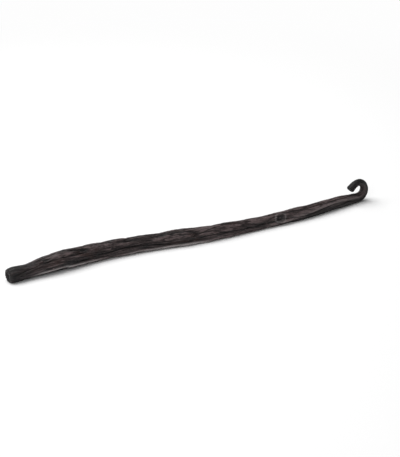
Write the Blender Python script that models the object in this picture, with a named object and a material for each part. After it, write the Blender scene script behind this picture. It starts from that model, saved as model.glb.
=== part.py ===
"""A cured vanilla pod lying on its side.

The pod runs along X: the blunt, dimpled blossom end is at -X and the hooked stem end at +X.
It is one closed solid, lofted from rings along a centre line that bends gently in plan and
curls up and back at the stem. The underside is flat where the pod rests, at z = 0.
"""

import math

import bmesh
import bpy
from mathutils import Vector

MM = 0.001

# Centre line of the body. "Reach" is the distance along the pod in millimetres, counted from
# the middle of the blossom-end knob. Each list holds (reach, value) points of a smooth curve.
FACE_REACH = -2.7
HOOK_REACH = 151.0
BENDS = [(-2.7, 0.5), (6, 0.6), (20, 1.6), (35, 2.7), (47, 2.1), (60, 0.4), (76, -2.3),
         (90, -3.1), (108, -3.3), (124, -3.0), (138, -1.6), (151, 0.0)]
LIFTS = [(-2.7, 0.0), (2, 0.0), (10, 0.5), (20, 0.35), (30, 0.0), (124, 0.0), (138, 0.35),
         (151, 0.1)]

# Stem hook: heading of the centre line above the horizontal, in degrees, by distance from
# the start of the hook. It turns up, over and back towards the body.
HOOK_LENGTH = 16.5
HOOK_HEADINGS = [(0, 0), (1.6, 8), (3.2, 34), (5.3, 74), (7.4, 114), (9.8, 154), (12.0, 189),
                 (13.9, 209), (16.5, 219)]

# Thickness of the pod by reach, swelling behind the blossom end and thinning to the stem.
DIAMETERS = [(-2.7, 5.7), (0.3, 5.9), (5.5, 5.5), (12, 6.3), (19, 7.1), (34, 6.75), (48, 6.3),
             (60, 6.1), (69, 6.5), (75, 5.95), (86, 5.85), (96, 5.2), (106, 5.0), (118, 5.3),
             (130, 4.95), (140, 4.7), (147, 4.25), (151, 3.9), (155, 3.4), (159, 3.1),
             (163.4, 2.9), (167.5, 3.3)]

# Cross-section: three rounded lobes that twist slowly, a little wider than tall, with a
# sharp seam low on the front flank and a furrow above it.
LOBE_COUNT = 3
LOBE_HEIGHT = 0.055
LOBE_START = math.radians(78)
LOBE_TWIST = math.radians(24)
WIDENING = 0.045
SEAM_ANGLE = math.radians(214)
SEAM_HEIGHT = 0.30
SEAM_WIDTH = math.radians(17)
FURROW_ANGLE = math.radians(186)
FURROW_DEPTH = 0.14
FURROW_WIDTH = math.radians(22)
FURROW_SWING = math.radians(14)
FURROW_WAVES = 2.5
SEAM_SWING_SHARE = 0.3
RIPPLE_HEIGHT = 0.09
RIPPLE_LENGTH = 11.0

# Share of the radius that stays above the rest plane: the rest is pressed flat.
REST_SHARE = 0.84

# Blunt ends: the rounding of the rim and the dimple in the end face.
KNOB_ROUND = 0.9
KNOB_DIMPLE_WIDTH = 0.62
KNOB_DIMPLE_DEPTH = 0.75
TIP_ROUND = 0.55
TIP_DIMPLE_WIDTH = 0.55
TIP_DIMPLE_DEPTH = 0.3

# Oval scar on the upper front flank, towards the stem.
SCAR_REACH = 110.5
SCAR_ANGLE = math.radians(150)
SCAR_HALF_LENGTH = 1.9
SCAR_HALF_WIDTH = 1.35
SCAR_DEPTH = 0.4
SCAR_PIT_WIDTH = 0.7
SCAR_RIM = 0.2
SCAR_RIM_WIDTH = 0.35

# Mesh density, and the step along the pod over which its direction is taken.
RING_POINTS = 28
BODY_RINGS = 118
HOOK_RINGS = 32
ROUND_RINGS = 4
FACE_RINGS = 4
HOOK_STEPS = 60
DIRECTION_STEP = 0.5

POD_COLOUR = (0.022, 0.014, 0.012, 1.0)
POD_ROUGHNESS = 0.42


def clear_scene():
    """Remove every object that is already in the scene."""
    for thing in list(bpy.data.objects):
        bpy.data.objects.remove(thing, do_unlink=True)


def slope_at(points, index):
    """Slope of the smooth curve at one of its points."""
    before = points[max(index - 1, 0)]
    after = points[min(index + 1, len(points) - 1)]
    return (after[1] - before[1]) / (after[0] - before[0])


def smooth_value(points, at):
    """Value at one position of the smooth curve through (position, value) points."""
    at = min(max(at, points[0][0]), points[-1][0])
    index = 0
    while index < len(points) - 2 and at > points[index + 1][0]:
        index += 1
    start, start_value = points[index]
    end, end_value = points[index + 1]
    span = end - start
    t = (at - start) / span
    leave = slope_at(points, index) * span
    arrive = slope_at(points, index + 1) * span
    return (start_value
            + t * leave
            + t ** 2 * (3 * (end_value - start_value) - 2 * leave - arrive)
            + t ** 3 * (leave + arrive - 2 * (end_value - start_value)))


def body_centre(reach):
    """Centre of the body's section at one reach."""
    radius = smooth_value(DIAMETERS, reach) / 2
    height = REST_SHARE * radius + smooth_value(LIFTS, reach)
    return Vector((reach, smooth_value(BENDS, reach), height))


def plan_direction(reach):
    """Horizontal direction of the body's centre line."""
    ahead = body_centre(min(reach + DIRECTION_STEP, HOOK_REACH))
    behind = body_centre(max(reach - DIRECTION_STEP, FACE_REACH))
    run = ahead - behind
    run.z = 0
    return run.normalized()


def hook_centre_and_tangent(distance):
    """Centre and direction of the hook's centre line, in the upright plane of the stem."""
    forward = plan_direction(HOOK_REACH)
    centre = body_centre(HOOK_REACH)
    stride = distance / HOOK_STEPS
    for step in range(HOOK_STEPS):
        heading = math.radians(smooth_value(HOOK_HEADINGS, (step + 0.5) * stride))
        centre += (forward * math.cos(heading) + Vector((0, 0, math.sin(heading)))) * stride
    heading = math.radians(smooth_value(HOOK_HEADINGS, distance))
    return centre, forward * math.cos(heading) + Vector((0, 0, math.sin(heading)))


def station(reach):
    """Centre, direction, sideways and upward vectors of the pod's section at one reach."""
    if reach > HOOK_REACH:
        centre, along = hook_centre_and_tangent(reach - HOOK_REACH)
        forward = plan_direction(HOOK_REACH)
    else:
        centre = body_centre(reach)
        forward = plan_direction(reach)
        along = forward
    sideways = Vector((-forward.y, forward.x, 0))
    return centre, along, sideways, along.cross(sideways)


def bump(offset, width):
    """A smooth hump: one in the middle, falling to nothing either side."""
    return math.exp(-(offset / width) ** 2)


def angle_between(angle, other):
    """Signed difference of two angles, between minus and plus half a turn."""
    return (angle - other + math.pi) % (2 * math.pi) - math.pi


def scar_height(reach, angle, radius):
    """Height of the scar's rim, or depth of its pit, over the plain skin."""
    along = (reach - SCAR_REACH) / SCAR_HALF_LENGTH
    around = angle_between(angle, SCAR_ANGLE) * radius / SCAR_HALF_WIDTH
    away = math.hypot(along, around)
    rim = SCAR_RIM * bump(away - 1, SCAR_RIM_WIDTH)
    return rim - SCAR_DEPTH * bump(away, SCAR_PIT_WIDTH)


def skin_radius(reach, angle):
    """Distance from the centre line to the skin, at one reach and angle round the section.

    The angle is counted from the back flank over the top: 90 degrees is up and 180 degrees
    is the front flank.
    """
    radius = smooth_value(DIAMETERS, reach) / 2
    end_reach = HOOK_REACH + HOOK_LENGTH
    fade = math.sin(math.pi * (reach - FACE_REACH) / (end_reach - FACE_REACH))
    fade = math.sqrt(max(fade, 0))
    twist = LOBE_START + LOBE_TWIST * reach / HOOK_REACH
    shape = 1 + fade * LOBE_HEIGHT * math.cos(LOBE_COUNT * (angle - twist))
    shape += WIDENING * math.cos(2 * angle)
    swing = FURROW_SWING * math.sin(2 * math.pi * FURROW_WAVES * reach / HOOK_REACH)
    seam_angle = SEAM_ANGLE + SEAM_SWING_SHARE * swing
    seam = SEAM_HEIGHT * bump(angle_between(angle, seam_angle), SEAM_WIDTH)
    furrow = FURROW_DEPTH * bump(angle_between(angle, FURROW_ANGLE + swing), FURROW_WIDTH)
    ripple = RIPPLE_HEIGHT * math.sin(2 * math.pi * reach / RIPPLE_LENGTH + 2 * angle)
    return radius * shape + fade * (seam - furrow + ripple) + scar_height(reach, angle, radius)


def end_rings(face_radius, rounding, dimple_width, dimple_depth):
    """Rings of a blunt end, from the middle of its face out over the rounded rim.

    Each ring is a pair: its share of the section's radius, and its distance inside the face.
    """
    flat_share = 1 - rounding / face_radius
    rings = []
    for step in range(1, FACE_RINGS):
        share = flat_share * step / FACE_RINGS
        sink = dimple_depth * (0.5 + 0.5 * math.cos(math.pi * min(share / dimple_width, 1)))
        rings.append((share, sink))
    for step in range(ROUND_RINGS):
        turn = math.pi / 2 * step / ROUND_RINGS
        share = flat_share + (1 - flat_share) * math.sin(turn)
        rings.append((share, rounding * (1 - math.cos(turn))))
    return rings


def ring_list():
    """Every ring of the pod as (reach, share of the section's radius), knob face to stem tip."""
    end_reach = HOOK_REACH + HOOK_LENGTH
    knob = end_rings(DIAMETERS[0][1] / 2, KNOB_ROUND, KNOB_DIMPLE_WIDTH, KNOB_DIMPLE_DEPTH)
    tip = end_rings(DIAMETERS[-1][1] / 2, TIP_ROUND, TIP_DIMPLE_WIDTH, TIP_DIMPLE_DEPTH)
    rings = [(FACE_REACH + inside, share) for share, inside in knob]
    body_start = FACE_REACH + KNOB_ROUND
    hook_end = end_reach - TIP_ROUND
    for step in range(BODY_RINGS):
        rings.append((body_start + (HOOK_REACH - body_start) * step / BODY_RINGS, 1))
    for step in range(HOOK_RINGS + 1):
        rings.append((HOOK_REACH + (hook_end - HOOK_REACH) * step / HOOK_RINGS, 1))
    rings.extend((end_reach - inside, share) for share, inside in reversed(tip))
    return rings


def ring_points(reach, share):
    """Points round one section, in metres, with the underside pressed onto the rest plane."""
    centre, along, sideways, upward = station(reach)
    points = []
    for index in range(RING_POINTS):
        angle = 2 * math.pi * index / RING_POINTS
        out = sideways * math.cos(angle) + upward * math.sin(angle)
        point = centre + out * skin_radius(reach, angle) * share
        point.z = max(point.z, 0)
        points.append(point * MM)
    return points


def face_middle(reach):
    """Middle point of an end face, in metres."""
    return station(reach)[0] * MM


def centre_on_origin(mesh):
    """Move the mesh so that the middle of its bounding box in plan is over the origin."""
    for axis in range(2):
        values = [vertex.co[axis] for vertex in mesh.verts]
        middle = (min(values) + max(values)) / 2
        for vertex in mesh.verts:
            vertex.co[axis] -= middle


def make_pod_mesh():
    """Loft the pod's skin through its rings and close both ends."""
    mesh = bmesh.new()
    rings = [[mesh.verts.new(point) for point in ring_points(reach, share)]
             for reach, share in ring_list()]
    for ring, following in zip(rings, rings[1:]):
        for index in range(RING_POINTS):
            after = (index + 1) % RING_POINTS
            mesh.faces.new((ring[index], ring[after], following[after], following[index]))
    knob_middle = mesh.verts.new(face_middle(FACE_REACH + KNOB_DIMPLE_DEPTH))
    tip_middle = mesh.verts.new(face_middle(HOOK_REACH + HOOK_LENGTH - TIP_DIMPLE_DEPTH))
    for index in range(RING_POINTS):
        after = (index + 1) % RING_POINTS
        mesh.faces.new((knob_middle, rings[0][after], rings[0][index]))
        mesh.faces.new((tip_middle, rings[-1][index], rings[-1][after]))
    centre_on_origin(mesh)
    return mesh


def pod_material():
    """Dark, slightly oily skin of a cured pod."""
    material = bpy.data.materials.new("pod_skin")
    material.use_nodes = True
    shader = material.node_tree.nodes["Principled BSDF"]
    shader.inputs["Base Color"].default_value = POD_COLOUR
    shader.inputs["Roughness"].default_value = POD_ROUGHNESS
    shader.inputs["Metallic"].default_value = 0.0
    return material


def make_pod():
    """Make the vanilla pod object."""
    data = bpy.data.meshes.new("vanilla_pod")
    mesh = make_pod_mesh()
    mesh.to_mesh(data)
    mesh.free()
    data.shade_smooth()
    data.materials.append(pod_material())
    pod = bpy.data.objects.new("vanilla_pod", data)
    bpy.context.scene.collection.objects.link(pod)
    return pod


clear_scene()
make_pod()
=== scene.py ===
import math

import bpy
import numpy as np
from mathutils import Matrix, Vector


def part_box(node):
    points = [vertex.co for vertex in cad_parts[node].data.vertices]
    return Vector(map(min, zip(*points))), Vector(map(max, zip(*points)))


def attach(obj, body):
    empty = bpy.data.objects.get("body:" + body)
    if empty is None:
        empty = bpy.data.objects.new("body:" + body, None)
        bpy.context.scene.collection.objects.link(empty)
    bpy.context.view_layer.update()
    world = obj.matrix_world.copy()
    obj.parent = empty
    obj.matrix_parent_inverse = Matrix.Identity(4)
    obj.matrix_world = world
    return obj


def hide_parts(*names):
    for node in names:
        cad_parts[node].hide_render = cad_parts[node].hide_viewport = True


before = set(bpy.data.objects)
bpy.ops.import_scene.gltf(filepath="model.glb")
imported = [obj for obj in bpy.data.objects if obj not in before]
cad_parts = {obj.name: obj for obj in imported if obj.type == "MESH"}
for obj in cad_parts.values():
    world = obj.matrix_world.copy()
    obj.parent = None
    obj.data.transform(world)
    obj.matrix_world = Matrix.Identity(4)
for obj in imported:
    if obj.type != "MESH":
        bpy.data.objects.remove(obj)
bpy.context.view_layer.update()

# Looks of a cured vanilla pod: wrinkled oily skin, seam, scar, dimpled knob and hooked stem.
# The pod's plain shape repeats the construction of its solid, in millimetres. Everything else
# is relief on that skin, and materials, floor, lights and camera.

NODE = "vanilla_pod"
MM = 0.001

# Centre line of the pod. "Reach" is the distance along the pod in millimetres, counted from
# the middle of the blossom-end knob. Each list holds (reach, value) points of a smooth curve.
FACE_REACH = -2.7
HOOK_REACH = 151.0
BENDS = [(-2.7, 0.5), (6, 0.6), (20, 1.6), (35, 2.7), (47, 2.1), (60, 0.4), (76, -2.3),
         (90, -3.1), (108, -3.3), (124, -3.0), (138, -1.6), (151, 0.0)]
LIFTS = [(-2.7, 0.0), (2, 0.0), (10, 0.5), (20, 0.35), (30, 0.0), (124, 0.0), (138, 0.35),
         (151, 0.1)]
HOOK_LENGTH = 16.5
HOOK_HEADINGS = [(0, 0), (1.6, 8), (3.2, 34), (5.3, 74), (7.4, 114), (9.8, 154), (12.0, 189),
                 (13.9, 209), (16.5, 219)]
END_REACH = HOOK_REACH + HOOK_LENGTH
DIAMETERS = [(-2.7, 5.7), (0.3, 5.9), (5.5, 5.5), (12, 6.3), (19, 7.1), (34, 6.75), (48, 6.3),
             (60, 6.1), (69, 6.5), (75, 5.95), (86, 5.85), (96, 5.2), (106, 5.0), (118, 5.3),
             (130, 4.95), (140, 4.7), (147, 4.25), (151, 3.9), (155, 3.4), (159, 3.1),
             (163.4, 2.9), (167.5, 3.3)]
# Height of the centre line over the table, as a share of the section's radius.
REST_SHARE = 0.84
# Distance to both sides over which the direction of the centre line is measured.
DIRECTION_STEP = 0.5
# Number of short straight moves that the hook's curve is added up from.
HOOK_STEPS = 600

# Plain cross-section: three rounded lobes that twist slowly, a little wider than tall.
LOBE_COUNT = 3
LOBE_HEIGHT = 0.055
LOBE_START = math.radians(78)
LOBE_TWIST = math.radians(24)
WIDENING = 0.045
RIPPLE_HEIGHT = 0.09
RIPPLE_LENGTH = 11.0

# Blunt ends.
KNOB_ROUND = 0.9
KNOB_DIMPLE_WIDTH = 0.62
KNOB_DIMPLE_DEPTH = 0.75
TIP_ROUND = 0.55
TIP_DIMPLE_WIDTH = 0.55
TIP_DIMPLE_DEPTH = 0.3

# Mesh density of the skin.
RING_POINTS = 144
BODY_RINGS = 500
HOOK_RINGS = 80
ROUND_RINGS = 9
FACE_RINGS = 10

# Brings the noise over the skin up to about -1 to 1.
NOISE_GAIN = 1.5

# Relief of the wrinkled skin, as layers of creases: how many cells go round the pod, how
# long a cell is, how deep its creases are, and how sharp.
CREASE_LAYERS = [
    {"cells": 6, "length": 30.0, "depth": 0.34, "width": 0.14, "seed": 11},
    {"cells": 13, "length": 14.0, "depth": 0.32, "width": 0.15, "seed": 23},
    {"cells": 27, "length": 7.0, "depth": 0.20, "width": 0.18, "seed": 37},
    {"cells": 55, "length": 3.5, "depth": 0.07, "width": 0.25, "seed": 41},
]
# Below 1, the power makes the bottoms of the creases narrower.
CREASE_POWER = 0.8
# Height of the folds between the creases over the plain skin.
SKIN_LIFT = 0.13
# Shallow creases that run across the pod, in patches.
CROSS_LAYER = {"cells": 7, "length": 1.5, "depth": 0.06, "width": 0.30, "seed": 53}
CROSS_PATCH = {"cells": 3, "length": 16.0, "seed": 59}
CROSS_PATCH_START = 0.4
CROSS_PATCH_GAIN = 2
# Slow sideways wander of all creases, in radians.
WANDER = {"cells": 2, "length": 24.0, "seed": 61}
WANDER_SWING = 0.42
# The skin is tauter towards the stem: depth of the creases by reach.
CREASE_STRENGTHS = [(-2.7, 0.5), (2, 0.7), (12, 1.0), (60, 1.0), (95, 0.8), (125, 0.75),
                    (150, 0.6), (160, 0.5), (167.5, 0.6)]

# Sharp seam low on the front flank, with a furrow over it. The seam shows along two stretches.
SEAM_ANGLES = [(-2.7, 203), (20, 205), (45, 208), (72, 209), (100, 214), (167.5, 214)]
SEAM_HEIGHTS = [(-2.7, 0.0), (4, 0.15), (10, 0.5), (30, 0.42), (39, 0.12), (50, 0.45), (72, 0.5),
                (84, 0.12), (100, 0.05), (167.5, 0.0)]
SEAM_WIDTH = 9.0
SEAM_FURROW_GAP = 15.0
SEAM_FURROW_WIDTH = 8.0
SEAM_FURROW_SHARE = 0.6

# Raised fold that climbs the front flank from the scar to the stem, with a furrow under it.
FOLD_ANGLES = [(100, 196), (112, 190), (122, 172), (131, 154), (142, 149), (154, 150)]
FOLD_HEIGHTS = [(-2.7, 0.0), (100, 0.0), (110, 0.26), (146, 0.34), (156, 0.0), (167.5, 0.0)]
FOLD_WIDTH = 13.0
FOLD_FURROW_GAP = 24.0
FOLD_FURROW_WIDTH = 12.0

# Furrow between the lobes of the front flank.
FURROW_ANGLE = 178.0
FURROW_DEPTH = 0.16
FURROW_WIDTH = 15.0
FURROW_SWING = 13.0
FURROW_WAVES = 2.5

# Oval scar on the upper front flank, with a raised rim and a boss in the middle.
SCAR_REACH = 110.5
SCAR_ANGLE = math.radians(150)
SCAR_HALF_LENGTH = 1.9
SCAR_HALF_WIDTH = 1.35
SCAR_DEPTH = 0.85
SCAR_RIM = 0.24
SCAR_BOSS = 0.5
# Widths of the rim, pit and boss, as shares of the scar's half size.
SCAR_RIM_WIDTH = 0.2
SCAR_PIT_WIDTH = 0.65
SCAR_BOSS_WIDTH = 0.28
# The wrinkles fade out inside the scar.
SCAR_CLEARING = 0.85
SCAR_CLEARING_WIDTH = 1.0
# Unevenness of the scar's outline: its size, waves round the outline, and their place.
SCAR_UNEVEN = 0.12
SCAR_WAVES = 3
SCAR_WAVE_TURN = 1
SCAR_LEAN = 0.4

# Radial pleats round the rim of both blunt ends.
PLEAT_COUNT = 13
PLEAT_DEPTH = 0.12
PLEAT_UNEVEN = 1.5

# Share of the seam's and the fold's height that the colours follow.
LINE_COLOUR_SHARE = 0.5
# Height that the colours take in the middle of both end faces.
FACE_RELIEF = -0.2

# Darker skin: the knob and the hook are darker in tone, and the strip under the fold is painted
# shade; each fades in between two reaches.
KNOB_DARK = (1.0, 12.0)
KNOB_DARK_SHARE = 0.7
UNDER_FOLD_SHADE_REACHES = (96.0, 116.0)
HOOK_DARK = (146.0, 161.0)
HOOK_DARK_SHARE = 0.45
# Degrees below the fold between which its strip of painted shade fades in.
UNDER_FOLD_SHADE_GAPS = (24.0, 40.0)
# Degrees below the seam between which the painted shade of the underside fades in, and out again.
UNDERSIDE_SHADE_START_GAPS = (12.0, 24.0)
UNDERSIDE_SHADE_END_GAPS = (80.0, 100.0)
# Strength of the painted shade under the fold and under the seam.
SHADE_STRIP_SHARE = 0.9
# Painted shade in the scar's pit, a dark ring, as shares of the scar's half size.
PIT_SHADE_PLACE = 0.55
PIT_SHADE_WIDTH = 0.4

# Width of the painted highlights along the seam and the fold, in degrees, and the heights at which
# they are brightest.
SEAM_HIGHLIGHT_WIDTH = 6.0
SEAM_HIGHLIGHT_HEIGHT = 0.5
FOLD_HIGHLIGHT_WIDTH = 20.0
FOLD_HIGHLIGHT_HEIGHT = 0.34
FOLD_HIGHLIGHT_SHARE = 0.12
# Pale ring round the scar, and its pale boss, as shares of the scar's half size.
RIM_PALE_PLACE = 1.3
RIM_PALE_WIDTH = 0.17
RIM_PALE_SHARE = 0.34
BOSS_PALE_WIDTH = 0.2
BOSS_PALE_SHARE = 0.2

# Noise over the skin: scale in each millimetre, detail, and how far it is drawn out.
STREAKS = (1.5, 7, 12)
MOTTLE = (1.0, 6, 2.2)
GRAIN = (3.0, 5, 3)
PATCHES = (0.28, 3, 3)
FLECKS = (1.9, 2, 2.5)

# Skin colours. The crease and ridge ranges are heights in the relief, the patch and fleck ranges
# are noise values, between which the skin turns to the colour. The near black crease colour is
# painted shade in the creases.
SKIN_COLOUR = (0.027, 0.0185, 0.0185)
CREASE_SHADE_COLOUR = (0.003, 0.0022, 0.0022)
RIDGE_COLOUR = (0.105, 0.077, 0.077)
PATCH_COLOUR = (0.030, 0.015, 0.013)
# Near black: darker tone of the knob and hook, and painted shade under the fold, under the seam
# and in the scar's pit.
DARK_TONE_AND_SHADE_COLOUR = (0.0035, 0.003, 0.003)
# Paler colour: painted highlights along the seam and the fold, and the scar's paler ring and boss.
PALE_AND_HIGHLIGHT_COLOUR = (0.34, 0.315, 0.315)
CREASE_SHADE_RANGE = (-0.34, -0.06)
RIDGE_RANGE = (-0.06, 0.16)
PATCH_RANGE = (0.52, 0.72)
# Painted highlights and the scar's pale marks are weaker in creases: two heights, and the share of
# the pale colour at each.
PALE_BREAKS = (-0.30, 0.05, 0.55, 1.0)
FLECK_COLOUR = (0.13, 0.098, 0.096)
FLECK_RANGE = (0.64, 0.76)
STREAK_SHARE = 0.8
MOTTLE_SHARE = 0.5
# Noise values of the grain, and the roughness at each.
GRAIN_RANGE = (0.3, 0.7)
ROUGHNESS = (0.32, 0.54)
SPECULAR = 0.30
BUMP_STRENGTH = 1.0
BUMP_HEIGHT = 0.20
BUMP_GRAIN_SHARE = 0.5
NOISE_ROUGHNESS = 0.66

# Studio, in metres.
FLOOR_COLOUR = (0.92, 0.92, 0.92)
FLOOR_ROUGHNESS = 0.9
FLOOR_SPECULAR = 0.1
FLOOR_SIZE = 6.0
# Distances from the pod between which the lit floor turns to plain white.
FLOOR_FADE = (0.13, 0.34)
FAR_FLOOR_STRENGTH = 0.985
WORLD_STRENGTH = 0.27
# Name, place, size and power of each lamp.
LAMPS = [
    ("lamp_over", (-0.20, 0.30, 0.75), 0.9, 8.5),
    ("lamp_front", (-0.6, -0.6, 0.50), 0.4, 1.7),
]
CAMERA_PLACE = (-0.2742, -0.4475, 0.216)
CAMERA_TARGET = (0, 0, 0.004)
CAMERA_LENS = 134
SENSOR_WIDTH = 36
CLIP_START = 0.01


def smooth_values(points, at):
    """Values at an array of positions of the smooth curve through (position, value) points."""
    places, values = np.array(points, dtype=float).T
    slopes = np.empty_like(values)
    slopes[1:-1] = (values[2:] - values[:-2]) / (places[2:] - places[:-2])
    slopes[0] = (values[1] - values[0]) / (places[1] - places[0])
    slopes[-1] = (values[-1] - values[-2]) / (places[-1] - places[-2])
    at = np.clip(at, places[0], places[-1])
    index = np.clip(np.searchsorted(places, at) - 1, 0, len(places) - 2)
    span = places[index + 1] - places[index]
    t = (at - places[index]) / span
    rise = values[index + 1] - values[index]
    leave = slopes[index] * span
    arrive = slopes[index + 1] * span
    return (values[index] + t * leave
            + t ** 2 * (3 * rise - 2 * leave - arrive)
            + t ** 3 * (leave + arrive - 2 * rise))


def body_centres(reach):
    """Centres of the body's sections."""
    heights = REST_SHARE * smooth_values(DIAMETERS, reach) / 2 + smooth_values(LIFTS, reach)
    return np.stack([reach, smooth_values(BENDS, reach), heights], axis=-1)


def plan_directions(reach):
    """Horizontal directions of the body's centre line."""
    run = (body_centres(np.minimum(reach + DIRECTION_STEP, HOOK_REACH))
           - body_centres(np.maximum(reach - DIRECTION_STEP, FACE_REACH)))
    run[..., 2] = 0
    return run / np.linalg.norm(run, axis=-1, keepdims=True)


def hook_stations(distance):
    """Centres and directions of the hook's sections, and the level direction of its plane."""
    start = np.array([HOOK_REACH])
    forward = plan_directions(start)[0]
    upward = np.array([0.0, 0.0, 1.0])
    edges = np.linspace(0, HOOK_LENGTH, HOOK_STEPS + 1)
    middles = (edges[1:] + edges[:-1]) / 2
    headings = np.radians(smooth_values(HOOK_HEADINGS, middles))[:, None]
    moves = (forward * np.cos(headings) + upward * np.sin(headings)) * HOOK_LENGTH
    moves /= HOOK_STEPS
    path = np.vstack([np.zeros(3), np.cumsum(moves, axis=0)]) + body_centres(start)[0]
    centres = np.stack([np.interp(distance, edges, path[:, axis]) for axis in range(3)], axis=-1)
    headings = np.radians(smooth_values(HOOK_HEADINGS, distance))[:, None]
    return centres, forward * np.cos(headings) + upward * np.sin(headings), forward


def stations(reach):
    """Centres, sideways and upward vectors of the pod's sections."""
    forward = plan_directions(np.minimum(reach, HOOK_REACH))
    centres = body_centres(np.minimum(reach, HOOK_REACH))
    along = forward.copy()
    hook = reach > HOOK_REACH
    centres[hook], along[hook], forward[hook] = hook_stations(reach[hook] - HOOK_REACH)
    sideways = np.stack([-forward[:, 1], forward[:, 0], np.zeros(len(reach))], axis=-1)
    return centres, sideways, np.cross(along, sideways)


def bump(offset, width):
    """A smooth hump: one in the middle, falling to nothing either side."""
    return np.exp(-(offset / width) ** 2)


def around_gap(angle, other):
    """Signed difference of two angles in radians, between minus and plus half a turn."""
    return (angle - other + math.pi) % (2 * math.pi) - math.pi


def skin_noise(reach, angle, cells, length, seed):
    """Smooth noise over the skin, about -1 to 1, drawn out along the pod and seamless round it."""
    rows = int((END_REACH - FACE_REACH) / length) + 3
    turns = np.random.default_rng(seed).uniform(0, 2 * math.pi, (rows, cells))
    along = (reach - FACE_REACH) / length
    around = (angle / (2 * math.pi) * cells) % cells
    row = np.floor(along).astype(int)
    column = np.floor(around).astype(int)
    u = along - row
    v = around - column
    blend_u = u ** 3 * (u * (u * 6 - 15) + 10)
    blend_v = v ** 3 * (v * (v * 6 - 15) + 10)

    def corner(row_step, column_step):
        turn = turns[(row + row_step) % rows, (column + column_step) % cells]
        return np.cos(turn) * (u - row_step) + np.sin(turn) * (v - column_step)

    near = corner(0, 0) * (1 - blend_u) + corner(1, 0) * blend_u
    far = corner(0, 1) * (1 - blend_u) + corner(1, 1) * blend_u
    return NOISE_GAIN * (near * (1 - blend_v) + far * blend_v)


def creases(reach, angle, layer):
    """Relief of one layer: rounded folds at zero, with narrow creases below them."""
    noise = skin_noise(reach, angle, layer["cells"], layer["length"], layer["seed"])
    return -layer["depth"] * bump(np.abs(noise) ** CREASE_POWER, layer["width"])


def wrinkles(reach, angle):
    """All creases of the skin at an array of reaches and angles, in millimetres."""
    wander = WANDER_SWING * skin_noise(reach, angle, WANDER["cells"], WANDER["length"],
                                       WANDER["seed"])
    relief = sum(creases(reach, angle + wander, layer) for layer in CREASE_LAYERS)
    patch = skin_noise(reach, angle, CROSS_PATCH["cells"], CROSS_PATCH["length"],
                       CROSS_PATCH["seed"])
    presence = np.clip(CROSS_PATCH_START + CROSS_PATCH_GAIN * patch, 0, 1)
    relief += creases(reach, angle, CROSS_LAYER) * presence
    return relief * smooth_values(CREASE_STRENGTHS, reach)


def line_relief(reach, angle, angles, width):
    """Hump along a line over the skin, one on the line, from (reach, degrees) points."""
    line = np.radians(smooth_values(angles, reach))
    return bump(around_gap(angle, line), math.radians(width))


def lines(reach, angle):
    """Seam, climbing fold and front furrow, in millimetres."""
    above_seam = [(place, degrees - SEAM_FURROW_GAP) for place, degrees in SEAM_ANGLES]
    seam = (line_relief(reach, angle, SEAM_ANGLES, SEAM_WIDTH)
            - SEAM_FURROW_SHARE * line_relief(reach, angle, above_seam, SEAM_FURROW_WIDTH))
    below_fold = [(place, degrees + FOLD_FURROW_GAP) for place, degrees in FOLD_ANGLES]
    fold = (line_relief(reach, angle, FOLD_ANGLES, FOLD_WIDTH)
            - line_relief(reach, angle, below_fold, FOLD_FURROW_WIDTH))
    swing = FURROW_SWING * np.sin(2 * math.pi * FURROW_WAVES * reach / HOOK_REACH)
    gap = around_gap(angle, np.radians(FURROW_ANGLE + swing))
    furrow = FURROW_DEPTH * bump(gap, math.radians(FURROW_WIDTH))
    return (seam * smooth_values(SEAM_HEIGHTS, reach)
            + fold * smooth_values(FOLD_HEIGHTS, reach) - furrow)


def scar_distance(reach, angle, radius):
    """Distance from the middle of the scar, one at its edge."""
    along = (reach - SCAR_REACH) / SCAR_HALF_LENGTH
    around = around_gap(angle, SCAR_ANGLE) * radius / SCAR_HALF_WIDTH
    turn = np.arctan2(around, along)
    wave = SCAR_UNEVEN * np.sin(SCAR_WAVES * turn + SCAR_WAVE_TURN) * np.cos(turn - SCAR_LEAN)
    return np.hypot(along, around) * (1 + wave)


def skin_shape(reach, angle):
    """Radius of the skin over the whole pod, and the height that its colours follow."""
    radius = smooth_values(DIAMETERS, reach) / 2
    fade = np.sin(math.pi * np.clip((reach - FACE_REACH) / (END_REACH - FACE_REACH), 0, 1))
    fade = np.sqrt(np.maximum(fade, 0))
    twist = LOBE_START + LOBE_TWIST * reach / HOOK_REACH
    shape = 1 + fade * LOBE_HEIGHT * np.cos(LOBE_COUNT * (angle - twist))
    shape += WIDENING * np.cos(2 * angle)
    ripple = RIPPLE_HEIGHT * np.sin(2 * math.pi * reach / RIPPLE_LENGTH + 2 * angle)
    away = scar_distance(reach, angle, radius)
    scar = (SCAR_RIM * bump(away - 1, SCAR_RIM_WIDTH) - SCAR_DEPTH * bump(away, SCAR_PIT_WIDTH)
            + SCAR_BOSS * bump(away, SCAR_BOSS_WIDTH))
    clear = 1 - SCAR_CLEARING * bump(away, SCAR_CLEARING_WIDTH)
    relief = clear * (wrinkles(reach, angle) + fade * SKIN_LIFT)
    drawn = fade * lines(reach, angle)
    height = relief + LINE_COLOUR_SHARE * drawn
    return radius * shape + drawn + fade * ripple + scar + relief, height


def ease(value, low, high):
    """Smooth step from nothing at the low value to one at the high value."""
    t = np.clip((value - low) / (high - low), 0, 1)
    return t * t * (3 - 2 * t)


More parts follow.
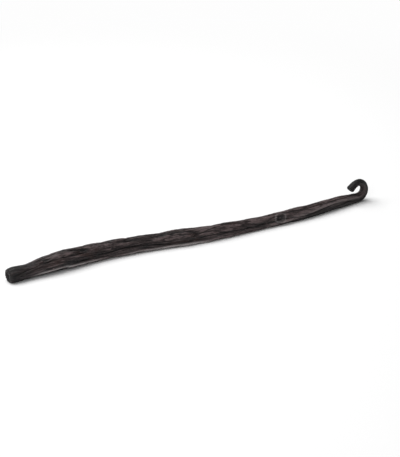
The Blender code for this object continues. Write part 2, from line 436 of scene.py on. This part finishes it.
def dark_tone_and_shade_mask(reach, angle):
    """Where the skin is darker: darker tone on the knob and hook, painted shade under the fold and
    the seam and inside the scar.
    """
    knob = 1 - ease(reach, *KNOB_DARK)
    gap = np.degrees(around_gap(angle, np.radians(smooth_values(FOLD_ANGLES, reach))))
    strip = ease(gap, *UNDER_FOLD_SHADE_GAPS) * ease(reach, *UNDER_FOLD_SHADE_REACHES)
    seam_gap = np.degrees(around_gap(angle, np.radians(smooth_values(SEAM_ANGLES, reach))))
    underside = ease(seam_gap, *UNDERSIDE_SHADE_START_GAPS) * (1 - ease(seam_gap, *UNDERSIDE_SHADE_END_GAPS))
    hook = ease(reach, *HOOK_DARK)
    away = scar_distance(reach, angle, smooth_values(DIAMETERS, reach) / 2)
    pit = bump(away - PIT_SHADE_PLACE, PIT_SHADE_WIDTH)
    return np.clip(KNOB_DARK_SHARE * knob + SHADE_STRIP_SHARE * np.maximum(strip, underside)
                   + HOOK_DARK_SHARE * hook + pit, 0, 1)


def pale_and_highlight_mask(reach, angle):
    """Where the skin is paler: painted highlights along the seam and on the fold, and a paler ring
    and boss round and inside the scar.
    """
    seam = line_relief(reach, angle, SEAM_ANGLES, SEAM_HIGHLIGHT_WIDTH)
    fold = line_relief(reach, angle, FOLD_ANGLES, FOLD_HIGHLIGHT_WIDTH)
    away = scar_distance(reach, angle, smooth_values(DIAMETERS, reach) / 2)
    scar = (RIM_PALE_SHARE * bump(away - RIM_PALE_PLACE, RIM_PALE_WIDTH)
            + BOSS_PALE_SHARE * bump(away, BOSS_PALE_WIDTH))
    seam *= (smooth_values(SEAM_HEIGHTS, reach) / SEAM_HIGHLIGHT_HEIGHT) ** 2
    fold *= FOLD_HIGHLIGHT_SHARE * smooth_values(FOLD_HEIGHTS, reach) / FOLD_HIGHLIGHT_HEIGHT
    return np.clip(seam + fold + scar, 0, 1)


def end_rings(face_radius, rounding, dimple_width, dimple_depth):
    """Rings of a blunt end, from the middle of its face out over the rounded rim.

    Two arrays come back: each ring's share of the section's radius, and its distance inside
    the face.
    """
    flat_share = 1 - rounding / face_radius
    face = flat_share * np.arange(1, FACE_RINGS) / FACE_RINGS
    sink = dimple_depth * (0.5 + 0.5 * np.cos(math.pi * np.minimum(face / dimple_width, 1)))
    turn = math.pi / 2 * np.arange(ROUND_RINGS) / ROUND_RINGS
    rim = flat_share + (1 - flat_share) * np.sin(turn)
    return np.append(face, rim), np.append(sink, rounding * (1 - np.cos(turn)))


def ring_list():
    """Reach and share of the radius of every ring, from the knob's face to the stem's tip."""
    knob_share, knob_inside = end_rings(DIAMETERS[0][1] / 2, KNOB_ROUND, KNOB_DIMPLE_WIDTH,
                                        KNOB_DIMPLE_DEPTH)
    tip_share, tip_inside = end_rings(DIAMETERS[-1][1] / 2, TIP_ROUND, TIP_DIMPLE_WIDTH,
                                      TIP_DIMPLE_DEPTH)
    body = np.linspace(FACE_REACH + KNOB_ROUND, HOOK_REACH, BODY_RINGS, endpoint=False)
    hook = np.linspace(HOOK_REACH, END_REACH - TIP_ROUND, HOOK_RINGS)
    reach = np.concatenate([FACE_REACH + knob_inside, body, hook, END_REACH - tip_inside[::-1]])
    share = np.concatenate([knob_share, np.ones(BODY_RINGS + HOOK_RINGS), tip_share[::-1]])
    return reach, share


def pleats(share, angle):
    """Radial pleats of a blunt end: deepest half way out over its face."""
    depth = PLEAT_DEPTH * np.sin(math.pi * np.clip(share, 0, 1)) ** 2
    return depth * np.cos(PLEAT_COUNT * angle + PLEAT_UNEVEN * np.sin(2 * angle))


def skin_points():
    """Points, relief, masks and places of every vertex, rings first and the two middles last."""
    ring_reach, ring_share = ring_list()
    turn = 2 * math.pi * np.arange(RING_POINTS) / RING_POINTS
    reach, angle = np.meshgrid(ring_reach, turn, indexing="ij")
    share = np.repeat(ring_share[:, None], RING_POINTS, axis=1)
    radius, relief = skin_shape(reach, angle)
    inward = pleats(share, angle)
    shifted = ring_reach[:, None] + np.where(reach < HOOK_REACH, inward, -inward)
    centres, sideways, upward = stations(shifted.ravel())
    out = sideways * np.cos(angle).reshape(-1, 1) + upward * np.sin(angle).reshape(-1, 1)
    points = centres + out * (radius * share).reshape(-1, 1)
    middles, _, _ = stations(np.array([FACE_REACH + KNOB_DIMPLE_DEPTH,
                                       END_REACH - TIP_DIMPLE_DEPTH]))
    points = np.vstack([points, middles])
    points[:, 2] = np.maximum(points[:, 2], 0)
    place = np.stack([reach, radius * np.cos(angle), radius * np.sin(angle)], axis=-1)
    ends = np.array([[FACE_REACH, 0, 0], [END_REACH, 0, 0]])
    return {
        "points": points,
        "relief": np.append(relief.ravel(), [FACE_RELIEF, FACE_RELIEF]),
        "dark": np.append(dark_tone_and_shade_mask(reach, angle).ravel(), [1.0, 1.0]),
        "pale": np.append(pale_and_highlight_mask(reach, angle).ravel(), [0.0, 0.0]),
        "place": np.vstack([place.reshape(-1, 3), ends]),
    }


def skin_faces(ring_count):
    """Quads between the rings and triangles over both ends, all facing out."""
    index = np.arange(ring_count * RING_POINTS).reshape(ring_count, RING_POINTS)
    after = np.roll(index, -1, axis=1)
    quads = np.stack([index[:-1], after[:-1], after[1:], index[1:]], axis=-1).reshape(-1, 4)
    knob_middle = ring_count * RING_POINTS
    tip_middle = knob_middle + 1
    faces = quads.tolist()
    faces += [(knob_middle, b, a) for a, b in zip(index[0].tolist(), after[0].tolist())]
    faces += [(tip_middle, a, b) for a, b in zip(index[-1].tolist(), after[-1].tolist())]
    return faces


def add_attribute(mesh, name, kind, field, values):
    """Store one value for each vertex on the mesh."""
    attribute = mesh.attributes.new(name, kind, "POINT")
    attribute.data.foreach_set(field, np.ascontiguousarray(values, dtype=np.float32).ravel())


def make_pod():
    """Make the wrinkled pod in the place of its plain solid."""
    skin = skin_points()
    low, high = (np.array(corner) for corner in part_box(NODE))
    points = skin["points"] * MM
    middle = (points.min(axis=0) + points.max(axis=0)) / 2
    points[:, :2] += ((low + high) / 2 - middle)[:2]
    points[:, 2] += low[2]
    mesh = bpy.data.meshes.new("pod_skin")
    ring_count = (len(points) - 2) // RING_POINTS
    mesh.from_pydata(points.tolist(), [], skin_faces(ring_count))
    add_attribute(mesh, "relief", "FLOAT", "value", skin["relief"])
    add_attribute(mesh, "dark", "FLOAT", "value", skin["dark"])
    add_attribute(mesh, "pale", "FLOAT", "value", skin["pale"])
    add_attribute(mesh, "place", "FLOAT_VECTOR", "vector", skin["place"])
    mesh.shade_smooth()
    pod = bpy.data.objects.new("pod_skin", mesh)
    bpy.context.scene.collection.objects.link(pod)
    pod.data.materials.append(skin_material())
    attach(pod, "root")
    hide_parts(NODE)


class Nodes:
    """Short helper that adds shader nodes and joins them."""

    def __init__(self, name):
        self.material = bpy.data.materials.new(name)
        self.material.use_nodes = True
        self.tree = self.material.node_tree
        self.shader = self.tree.nodes["Principled BSDF"]

    def add(self, kind, **settings):
        """Add a node with its settings."""
        node = self.tree.nodes.new(kind)
        for key, value in settings.items():
            setattr(node, key, value)
        return node

    def join(self, source, target):
        """Join an output socket to an input socket."""
        self.tree.links.new(source, target)

    def attribute(self, name):
        """Node that reads a value stored on the mesh."""
        return self.add("ShaderNodeAttribute", attribute_name=name)

    def spread(self, value, low, high, to_low=0.0, to_high=1.0):
        """Map a range of values to another, clamped and eased."""
        node = self.add("ShaderNodeMapRange", interpolation_type="SMOOTHSTEP")
        self.join(value, node.inputs["Value"])
        node.inputs["From Min"].default_value = low
        node.inputs["From Max"].default_value = high
        node.inputs["To Min"].default_value = to_low
        node.inputs["To Max"].default_value = to_high
        return node.outputs["Result"]

    def noise(self, place, scale, detail, stretch):
        """Noise over the skin, drawn out along the pod."""
        mapping = self.add("ShaderNodeMapping")
        mapping.inputs["Scale"].default_value = (1 / stretch, 1, 1)
        self.join(place, mapping.inputs["Vector"])
        node = self.add("ShaderNodeTexNoise")
        node.inputs["Scale"].default_value = scale
        node.inputs["Detail"].default_value = detail
        node.inputs["Roughness"].default_value = NOISE_ROUGHNESS
        self.join(mapping.outputs["Vector"], node.inputs["Vector"])
        return node.outputs["Fac"]

    def math(self, operation, first, second):
        """Sum, product and so on of two values."""
        node = self.add("ShaderNodeMath", operation=operation)
        for socket, value in zip(node.inputs, (first, second)):
            if isinstance(value, (int, float)):
                socket.default_value = value
            else:
                self.join(value, socket)
        return node.outputs["Value"]

    def mix(self, share, first, second):
        """Blend of two colours; each is a colour socket or three numbers."""
        node = self.add("ShaderNodeMix", data_type="RGBA")
        self.join(share, node.inputs["Factor"])
        for name, value in (("A", first), ("B", second)):
            socket = next(s for s in node.inputs if s.name == name and s.type == "RGBA")
            if isinstance(value, tuple):
                socket.default_value = (*value, 1)
            else:
                self.join(value, socket)
        return next(s for s in node.outputs if s.type == "RGBA")


def skin_material():
    """Dark oily skin: near black in the creases as painted shade, grey brown on the folds, mauve
    patches.
    """
    nodes = Nodes("pod_skin")
    place = nodes.attribute("place").outputs["Vector"]
    relief = nodes.attribute("relief").outputs["Fac"]
    dark = nodes.attribute("dark").outputs["Fac"]
    pale = nodes.attribute("pale").outputs["Fac"]
    streaks = nodes.noise(place, *STREAKS)
    mottle = nodes.noise(place, *MOTTLE)
    grain = nodes.noise(place, *GRAIN)
    patches = nodes.noise(place, *PATCHES)
    flecks = nodes.noise(place, *FLECKS)

    streak_height = nodes.math("MULTIPLY", nodes.math("SUBTRACT", streaks, 0.5), STREAK_SHARE)
    mottle_height = nodes.math("MULTIPLY", nodes.math("SUBTRACT", mottle, 0.5), MOTTLE_SHARE)
    height = nodes.math("ADD", relief, nodes.math("ADD", streak_height, mottle_height))
    # Painted shade: the skin turns near black where the relief is low, in the creases, shifted at
    # random by the streak and mottle noise.
    colour = nodes.mix(nodes.spread(height, *CREASE_SHADE_RANGE), CREASE_SHADE_COLOUR, SKIN_COLOUR)
    colour = nodes.mix(nodes.spread(patches, *PATCH_RANGE), colour, PATCH_COLOUR)
    colour = nodes.mix(nodes.spread(height, *RIDGE_RANGE), colour, RIDGE_COLOUR)
    colour = nodes.mix(nodes.spread(flecks, *FLECK_RANGE), colour, FLECK_COLOUR)
    # Darker tone on the knob and hook, and painted shade under the fold, under the seam and in the
    # scar's pit.
    colour = nodes.mix(dark, colour, DARK_TONE_AND_SHADE_COLOUR)
    broken = nodes.math("MULTIPLY", pale, nodes.spread(height, *PALE_BREAKS))
    # Painted highlights along the seam and the fold, and the scar's paler ring and boss.
    colour = nodes.mix(broken, colour, PALE_AND_HIGHLIGHT_COLOUR)
    nodes.join(colour, nodes.shader.inputs["Base Color"])

    rough = nodes.spread(grain, *GRAIN_RANGE, *ROUGHNESS)
    nodes.join(rough, nodes.shader.inputs["Roughness"])
    nodes.shader.inputs["Specular IOR Level"].default_value = SPECULAR

    surface = nodes.math("ADD", streaks, nodes.math("MULTIPLY", grain, BUMP_GRAIN_SHARE))
    bump_node = nodes.add("ShaderNodeBump")
    bump_node.inputs["Strength"].default_value = BUMP_STRENGTH
    bump_node.inputs["Distance"].default_value = BUMP_HEIGHT * MM
    nodes.join(surface, bump_node.inputs["Height"])
    nodes.join(bump_node.outputs["Normal"], nodes.shader.inputs["Normal"])
    return nodes.material


def floor_material():
    """Pale floor that takes the pod's shadow near it and shows plain white further off."""
    nodes = Nodes("floor")
    nodes.shader.inputs["Base Color"].default_value = (*FLOOR_COLOUR, 1)
    nodes.shader.inputs["Roughness"].default_value = FLOOR_ROUGHNESS
    nodes.shader.inputs["Specular IOR Level"].default_value = FLOOR_SPECULAR
    place = nodes.add("ShaderNodeTexCoord").outputs["Object"]
    distance = nodes.add("ShaderNodeVectorMath", operation="LENGTH")
    nodes.join(place, distance.inputs[0])
    path = nodes.add("ShaderNodeLightPath").outputs
    seen = nodes.math("MAXIMUM", path["Is Camera Ray"], path["Is Glossy Ray"])
    far = nodes.math("MULTIPLY", nodes.spread(distance.outputs["Value"], *FLOOR_FADE), seen)
    white = nodes.add("ShaderNodeEmission")
    white.inputs["Strength"].default_value = FAR_FLOOR_STRENGTH
    blend = nodes.add("ShaderNodeMixShader")
    nodes.join(far, blend.inputs[0])
    nodes.join(nodes.shader.outputs[0], blend.inputs[1])
    nodes.join(white.outputs[0], blend.inputs[2])
    nodes.join(blend.outputs[0], nodes.tree.nodes["Material Output"].inputs["Surface"])
    return nodes.material


def make_floor():
    """Plain pale floor under the pod."""
    mesh = bpy.data.meshes.new("floor")
    half = FLOOR_SIZE / 2
    corners = [(-half, -half, 0), (half, -half, 0), (half, half, 0), (-half, half, 0)]
    mesh.from_pydata(corners, [], [(0, 1, 2, 3)])
    floor = bpy.data.objects.new("floor", mesh)
    bpy.context.scene.collection.objects.link(floor)
    mesh.materials.append(floor_material())


def make_world():
    """Soft white surroundings: dim for the skin's own light, white behind the floor."""
    world = bpy.data.worlds.new("studio")
    bpy.context.scene.world = world
    world.use_nodes = True
    tree = world.node_tree
    background = tree.nodes["Background"]
    background.inputs["Color"].default_value = (1, 1, 1, 1)
    path = tree.nodes.new("ShaderNodeLightPath")
    white = tree.nodes.new("ShaderNodeMath")
    white.operation = "MAXIMUM"
    tree.links.new(path.outputs["Is Camera Ray"], white.inputs[0])
    tree.links.new(path.outputs["Is Transmission Ray"], white.inputs[1])
    strength = tree.nodes.new("ShaderNodeMapRange")
    strength.inputs["To Min"].default_value = WORLD_STRENGTH
    strength.inputs["To Max"].default_value = 1.0
    tree.links.new(white.outputs["Value"], strength.inputs["Value"])
    tree.links.new(strength.outputs["Result"], background.inputs["Strength"])


def aim(thing, place, target):
    """Put a lamp or camera at a place and turn it to look at a target."""
    thing.location = place
    direction = Vector(target) - Vector(place)
    thing.rotation_euler = direction.to_track_quat("-Z", "Y").to_euler()


def make_lamp(name, place, size, power):
    """Square soft lamp that shines on the pod."""
    data = bpy.data.lights.new(name, "AREA")
    data.shape = "SQUARE"
    data.size = size
    data.energy = power
    lamp = bpy.data.objects.new(name, data)
    bpy.context.scene.collection.objects.link(lamp)
    aim(lamp, place, (0, 0, 0))


def make_camera():
    """Camera low over the front left of the pod."""
    data = bpy.data.cameras.new("camera")
    data.sensor_fit = "HORIZONTAL"
    data.sensor_width = SENSOR_WIDTH
    data.lens = CAMERA_LENS
    data.clip_start = CLIP_START
    camera = bpy.data.objects.new("camera", data)
    bpy.context.scene.collection.objects.link(camera)
    aim(camera, CAMERA_PLACE, CAMERA_TARGET)
    bpy.context.scene.camera = camera


make_pod()
make_floor()
make_world()
for lamp in LAMPS:
    make_lamp(*lamp)
make_camera()
bpy.context.scene.view_settings.view_transform = "Standard"
